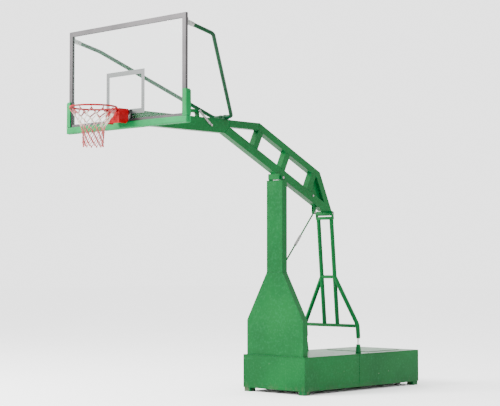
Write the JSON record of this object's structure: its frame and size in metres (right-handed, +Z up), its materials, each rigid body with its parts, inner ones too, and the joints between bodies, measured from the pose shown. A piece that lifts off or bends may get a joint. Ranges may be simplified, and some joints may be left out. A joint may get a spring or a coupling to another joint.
{
  "type": "portable basketball stand",
  "caption": "Portable basketball stand with a ballasted base box, flat column, trussed boom, rear support frame, framed glass backboard, breakaway ring and net.",
  "frame": {"origin": "on the floor under the middle of the base box, at the centre of the four jack feet", "axes": "+Z up; -Y from the base towards the board and the court; +X to the right as seen from the court"},
  "size_m": [1.87, 5.013, 3.95],
  "materials": {
    "green_paint": "gloss",
    "pad_foam": "satin",
    "board_glass": "polished",
    "board_aluminium": "satin",
    "rim_red": "gloss",
    "zinc_steel": "satin",
    "screw_chrome": "polished",
    "black_rubber": "matte",
    "net_cord": "matte",
    "caster_tread": "matte",
    "ballast_iron": "matte",
    "grey_primer": "matte"
  },
  "bodies": {
    "stand": {"base_shell": "green_paint", "base_lid": "green_paint", "base_frame": "grey_primer", "counterweights": "ballast_iron", "adjusting_screws": "screw_chrome", "screw_posts": "green_paint", "caster_mounts": "zinc_steel", "column_housing": "green_paint", "column_post": "green_paint", "pivot_yoke": "green_paint", "pivot_pins": "zinc_steel", "tie_anchor": "green_paint"},
    "foot_front_left": {"jack_foot_front_left": "green_paint"},
    "foot_front_right": {"jack_foot_front_right": "green_paint"},
    "foot_rear_left": {"jack_foot_rear_left": "green_paint"},
    "foot_rear_right": {"jack_foot_rear_right": "green_paint"},
    "fork_left": {"caster_fork_left": "zinc_steel"},
    "fork_right": {"caster_fork_right": "zinc_steel"},
    "wheel_front_left": {"front_wheel_left": "caster_tread"},
    "wheel_front_right": {"front_wheel_right": "caster_tread"},
    "wheel_rear_left": {"rear_wheel_left": "caster_tread"},
    "wheel_rear_right": {"rear_wheel_right": "caster_tread"},
    "boom": {"front_beam": "green_paint", "upper_chord": "green_paint", "lower_chord": "green_paint", "boom_posts": "green_paint", "web_plate": "green_paint", "pivot_block": "green_paint", "rear_hinge_sleeve": "zinc_steel", "stay_left": "green_paint", "stay_right": "green_paint", "stay_clamps": "zinc_steel", "stay_saddle": "green_paint", "levelling_bracket": "green_paint", "levelling_links": "zinc_steel", "boom_bolts": "zinc_steel", "tie_lug": "green_paint", "board_bracket": "green_paint", "glass_pane": "board_glass", "board_frame": "board_aluminium", "pad_bottom": "pad_foam", "pad_side_left": "pad_foam", "pad_side_right": "pad_foam", "rim_plate": "zinc_steel", "rim_gaskets": "black_rubber", "rim_bolts": "zinc_steel", "rim_springs": "zinc_steel"},
    "ring": {"rim_ring": "rim_red", "net_hooks": "rim_red", "ring_bracket": "rim_red", "spring_cover": "rim_red", "net": "net_cord"},
    "leg_nut_pair": {"leg_nuts": "zinc_steel"},
    "rear_frame": {"frame_inner_tubes": "green_paint", "frame_outer_legs": "green_paint", "frame_crossbars": "green_paint", "frame_hinge_pin": "zinc_steel"},
    "tie_low": {"tie_rod_lower": "green_paint", "turnbuckle": "zinc_steel"},
    "tie_high": {"tie_rod_upper": "green_paint"}
  },
  "joints": [
    {"name": "arm_tilt", "type": "hinge", "parent": "stand", "child": "boom", "pos_m": [0, -0.99, 2.452], "axis": [1, 0, 0], "range_deg": [-2, 2]},
    {"name": "nut_travel", "type": "slide", "parent": "stand", "child": "leg_nut_pair", "axis": [0, 0, 1], "range_m": [-0.03, 0.03]},
    {"name": "frame_lean", "type": "hinge", "parent": "leg_nut_pair", "child": "rear_frame", "pos_m": [0, -0.025, 0.62], "axis": [1, 0, 0], "range_deg": [-0.6, 0.6]},
    {"name": "tie_swing", "type": "hinge", "parent": "stand", "child": "tie_low", "pos_m": [0, -0.915, 1.41], "axis": [1, 0, 0], "range_deg": [-0.4, 0.4]},
    {"name": "tie_length", "type": "slide", "parent": "tie_low", "child": "tie_high", "axis": [0, 0.6508, 0.7593], "range_m": [-0.027, 0.027]},
    {"name": "rim_break", "type": "hinge", "parent": "boom", "child": "ring", "pos_m": [0, -3.335, 2.945], "axis": [1, 0, 0], "range_deg": [0, 30], "stiffness_Nm_per_rad": 800, "springref_deg": -28.65, "deforming": ["rim_springs"]},
    {"name": "jack_front_left", "type": "slide", "parent": "stand", "child": "foot_front_left", "axis": [0, 0, 1], "range_m": [0, 0.02]},
    {"name": "jack_front_right", "type": "slide", "parent": "stand", "child": "foot_front_right", "axis": [0, 0, 1], "range_m": [0, 0.02]},
    {"name": "jack_rear_left", "type": "slide", "parent": "stand", "child": "foot_rear_left", "axis": [0, 0, 1], "range_m": [0, 0.02]},
    {"name": "jack_rear_right", "type": "slide", "parent": "stand", "child": "foot_rear_right", "axis": [0, 0, 1], "range_m": [0, 0.02]},
    {"name": "swivel_left", "type": "hinge", "parent": "stand", "child": "fork_left", "pos_m": [-0.33, -0.82, 0.12], "axis": [0, 0, 1], "continuous": true},
    {"name": "spin_front_left", "type": "hinge", "parent": "fork_left", "child": "wheel_front_left", "pos_m": [-0.33, -0.79, 0.06], "axis": [1, 0, 0], "continuous": true},
    {"name": "spin_rear_left", "type": "hinge", "parent": "stand", "child": "wheel_rear_left", "pos_m": [-0.33, 0.82, 0.06], "axis": [1, 0, 0], "continuous": true},
    {"name": "swivel_right", "type": "hinge", "parent": "stand", "child": "fork_right", "pos_m": [0.33, -0.82, 0.12], "axis": [0, 0, 1], "continuous": true},
    {"name": "spin_front_right", "type": "hinge", "parent": "fork_right", "child": "wheel_front_right", "pos_m": [0.33, -0.79, 0.06], "axis": [1, 0, 0], "continuous": true},
    {"name": "spin_rear_right", "type": "hinge", "parent": "stand", "child": "wheel_rear_right", "pos_m": [0.33, 0.82, 0.06], "axis": [1, 0, 0], "continuous": true}
  ],
  "couplings": [
    {"joint": "nut_travel", "follows": "arm_tilt", "m_per_rad": 0.80674},
    {"joint": "frame_lean", "follows": "arm_tilt", "ratio": -0.26607},
    {"joint": "tie_swing", "follows": "arm_tilt", "ratio": 0.15245},
    {"joint": "tie_length", "follows": "arm_tilt", "m_per_rad": 0.73507}
  ]
}
